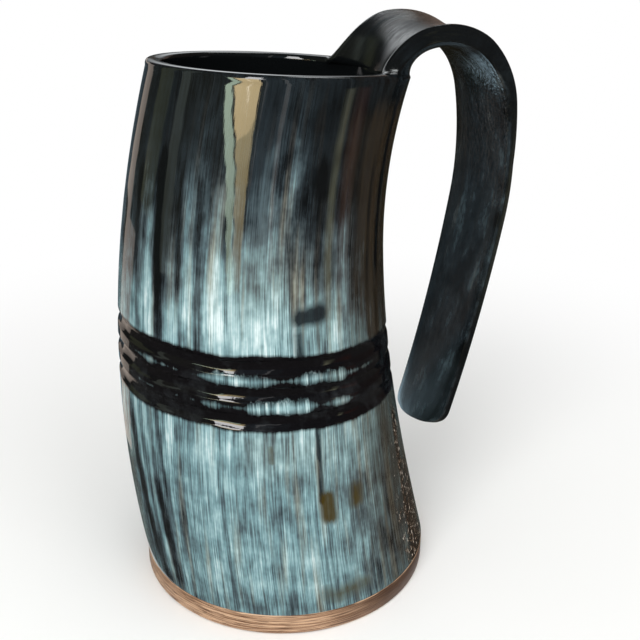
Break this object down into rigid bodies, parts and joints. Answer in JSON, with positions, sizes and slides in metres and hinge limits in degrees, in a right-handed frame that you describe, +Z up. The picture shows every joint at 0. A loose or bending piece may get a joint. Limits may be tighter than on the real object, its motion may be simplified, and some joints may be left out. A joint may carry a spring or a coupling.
{
  "type": "horn drinking cup",
  "caption": "Tankard carved from one horn, wide end down on a turned wooden base, with burnt grooves round the middle and its own strap bent over as an open hook handle.",
  "frame": {"origin": "middle of the wooden base's underside", "axes": "+Z up through the mouth, +X towards the handle"},
  "size_m": [0.1167, 0.091, 0.1704],
  "materials": {
    "streaked_horn": "polished and lacquered, grey green with black streaks",
    "black_horn": "polished black",
    "wood": "sanded and oiled",
    "resin": "poured, glossy"
  },
  "bodies": {
    "root": {"horn_body": "streaked_horn", "horn_handle": "black_horn", "wood_base": "wood", "resin_seal": "resin"}
  },
  "joints": []
}
